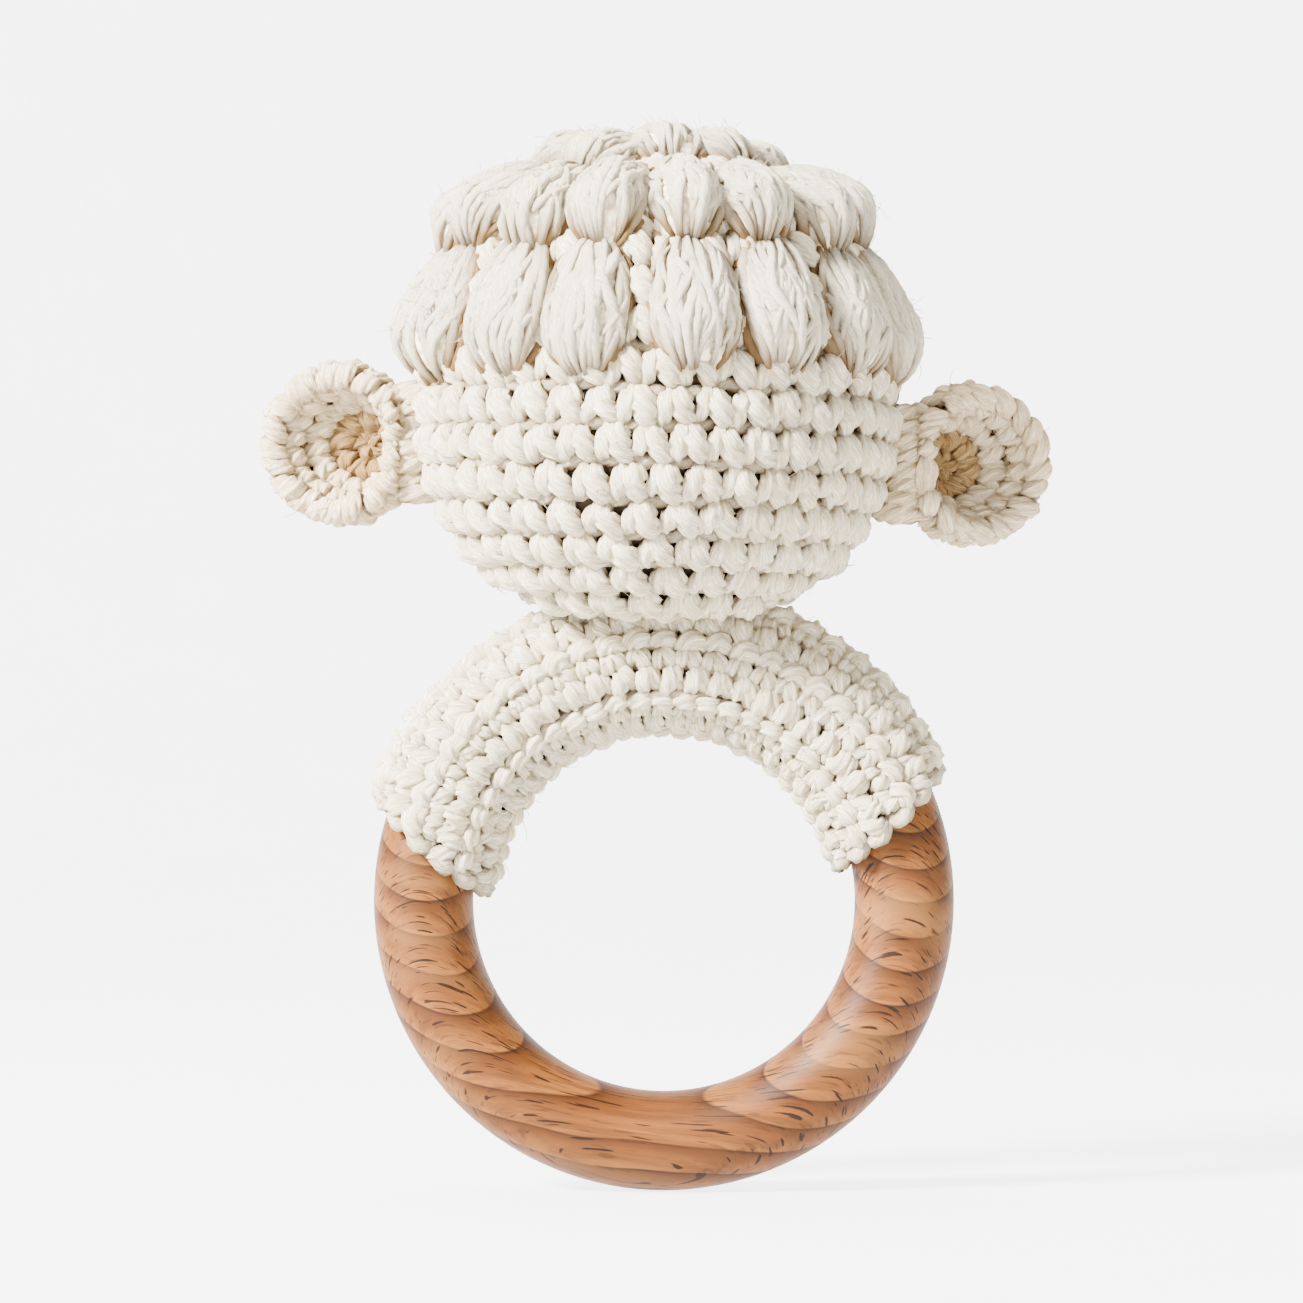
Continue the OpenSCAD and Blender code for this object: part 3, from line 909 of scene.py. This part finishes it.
def ear_lining(which, inner, outer, rows=16, cols=48):
    """The closed layer between the inside and the outside stitches of an ear, painted dark as the shadow seen
    between them.
    """
    a = np.linspace(-math.pi, math.pi, cols, endpoint=False)
    sheets = []
    for surface, start, end in ((inner, 0.6, inner.s[-1]), (outer, outer.s[-1], 0.6)):
        grid_s, grid_a = np.meshgrid(np.linspace(start, end, rows), a, indexing="ij")
        sheets.append(surface(grid_a, grid_s, np.full_like(grid_s, -LINING_INSET))[0])
    points = np.concatenate(sheets).reshape(-1, 3)
    quads = grid_faces(2 * rows, cols, wrap_rows=True)
    return mesh_piece(f"ear_{which}_lining", points, quads, np.zeros((0, 3), int), EAR_GAP_SHADOW)


def ear_seam(which):
    """Sewing yarn that holds an ear's folded edge to the head, in front and behind."""
    hinge, out = ear_hinge(which)
    yarn = Yarn()
    count = 8
    t = np.linspace(0, 1, 12)
    for i in range(2 * count):
        face = -1 if i < count else 1
        z = hinge[2] + (i % count - (count - 1) / 2) * 1.7
        x = hinge[0] + out * (-1.9 - 0.035 * (z - hinge[2]) ** 2 + 5.4 * t)
        y = hinge[1] + face * (0.7 + 1.4 * np.sin(math.pi * t)) + 0.3 * rng.normal()
        path = np.stack([x, y, z + rng.normal(0, 0.5) * (t - 0.5)], -1)
        guide = np.broadcast_to(np.array([0.3 * out, float(face), 0.0]), path.shape)
        half = rng.normal(1.2, 0.08) * np.sin(np.linspace(0.3, math.pi - 0.3, 12)) ** 0.5
        yarn.add(path[None], unit(guide)[None], half[None], 0.85 * half[None], 0.4)
    piece = yarn.piece(f"ear_{which}_sewing", EAR)
    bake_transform(piece)
    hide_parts(f"ear_{which}_seam")


# ---------------------------------------------------------------- the neck

def neck():
    """Sewing stitches that join the head's base to the top of the sleeve."""
    yarn = Yarn()
    count = 26
    t = np.linspace(0, 1, 12)
    tube = SLEEVE_REF + 0.9
    for i in range(count):
        a = TURN * (i + 0.5) / count + 0.10 * t
        x = HEAD_X + (13.6 - 0.8 * t) * np.sin(a)
        y = -(7.4 - 0.5 * t) * np.cos(a)
        hug = np.sqrt(tube ** 2 - y ** 2)
        low = np.sqrt((RING_MID + hug) ** 2 - x ** 2) - 0.4
        top = np.maximum(BASE_Z + 1.3, low + 0.8)
        path = np.stack([x, y, top + (low - top) * t], -1)
        guide = np.stack([np.sin(a), -np.cos(a), 0 * a], -1)
        half = 1.05 * np.sin(np.linspace(0.3, math.pi - 0.3, 12)) ** 0.5
        yarn.add(path[None], guide[None], half[None], 0.85 * half[None], 0.2)
    piece = yarn.piece("neck_sewing", CREAM)
    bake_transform(piece)
    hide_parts("neck_seam")


# ---------------------------------------------------------------- CAD pieces that keep their shape

def repaint(node, material):
    """Gives a CAD node's object a better material."""
    obj = frame["nodes"][node]
    obj.data.materials.clear()
    obj.data.materials.append(material)


def carried_over():
    repaint("wooden_ring", BEECH)
    case = plastic_material("case_plastic", (232, 232, 226), (220, 220, 214))
    pellet = plastic_material("pellet_plastic", (202, 202, 198), (188, 188, 184))
    repaint("rattle_case_lower", case)
    repaint("rattle_case_upper", case)
    for node in frame["nodes"]:
        if node.startswith("rattle_pellet"):
            repaint(node, pellet)


# ---------------------------------------------------------------- stage, light and camera

def stage():
    """A pale floor that sweeps up behind into a wall, in metres."""
    floor_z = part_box("wooden_ring")[0].z
    m = Nodes("pale_floor")
    place = m.node("ShaderNodeTexCoord").outputs["Object"]
    grain = m.noise(place, 40.0, 3.0)
    m.set(Base_Color=m.ramp(grain, (0.3, linear((136, 136, 136))), (0.7, linear((140, 140, 140)))), Roughness=0.9)
    m.shader.inputs["Emission Color"].default_value = (1, 1, 1, 1)
    m.shader.inputs["Emission Strength"].default_value = 4.15
    width, front, back, top, bend = 1.4, -1.1, 1.0, 1.3, 0.5
    a = np.linspace(0, math.pi / 2, 16)
    y = np.concatenate([[front], back - bend + bend * np.sin(a), [back]])
    z = np.concatenate([[0], bend * (1 - np.cos(a)), [top]]) + floor_z
    side = np.array([-width, width])
    grid_y, grid_x = np.meshgrid(y, side, indexing="ij")
    grid_z = np.meshgrid(z, side, indexing="ij")[0]
    points = np.stack([grid_x, grid_y, grid_z], -1).reshape(-1, 3) / MM
    quads = grid_faces(len(y), 2, wrap_cols=False)
    floor = mesh_piece("floor", points, quads[:, ::-1], np.zeros((0, 3), int), m.material)


def light(name, place, target, size, power):
    """A round soft light, with its place and size in metres and its power in watts."""
    lamp = bpy.data.lights.new(name, "AREA")
    lamp.shape = "DISK"
    lamp.size = size
    lamp.energy = power
    obj = bpy.data.objects.new(name, lamp)
    bpy.context.scene.collection.objects.link(obj)
    obj.location = place
    obj.rotation_euler = (Vector(target) - Vector(place)).to_track_quat("-Z", "Y").to_euler()


def lights():
    middle = (0, 0, 0.03)
    light("key", (-0.85, -0.60, 0.70), middle, 0.33, 200.0)
    light("fill", (0.8, -0.8, 0.25), middle, 0.9, 8.0)
    light("top", (-0.1, 0.15, 0.95), middle, 0.5, 20.0)
    world = bpy.data.worlds.new("studio")
    world.use_nodes = True
    colour, strength = world.node_tree.nodes["Background"].inputs[:2]
    colour.default_value = (1, 1, 1, 1)
    strength.default_value = 0.60
    bpy.context.scene.world = world


def camera():
    """Straight on to the front, from far enough off to keep the ring round."""
    distance = 0.70
    frame_width = 0.1572
    cam = bpy.data.cameras.new("camera")
    cam.sensor_width = 36
    cam.lens = cam.sensor_width * distance / frame_width
    obj = bpy.data.objects.new("camera", cam)
    bpy.context.scene.collection.objects.link(obj)
    obj.location = (-0.0015, -distance, 0.030)
    obj.rotation_euler = (math.pi / 2, 0, 0)
    bpy.context.scene.camera = obj


camera()
lights()
stage()
carried_over()
head_inside()
head_rounds()
curl_rounds()
ridge_rounds()
sleeve_lining()
sleeve_rows()
for which in ("left", "right"):
    ear(which)
    ear_seam(which)
neck()
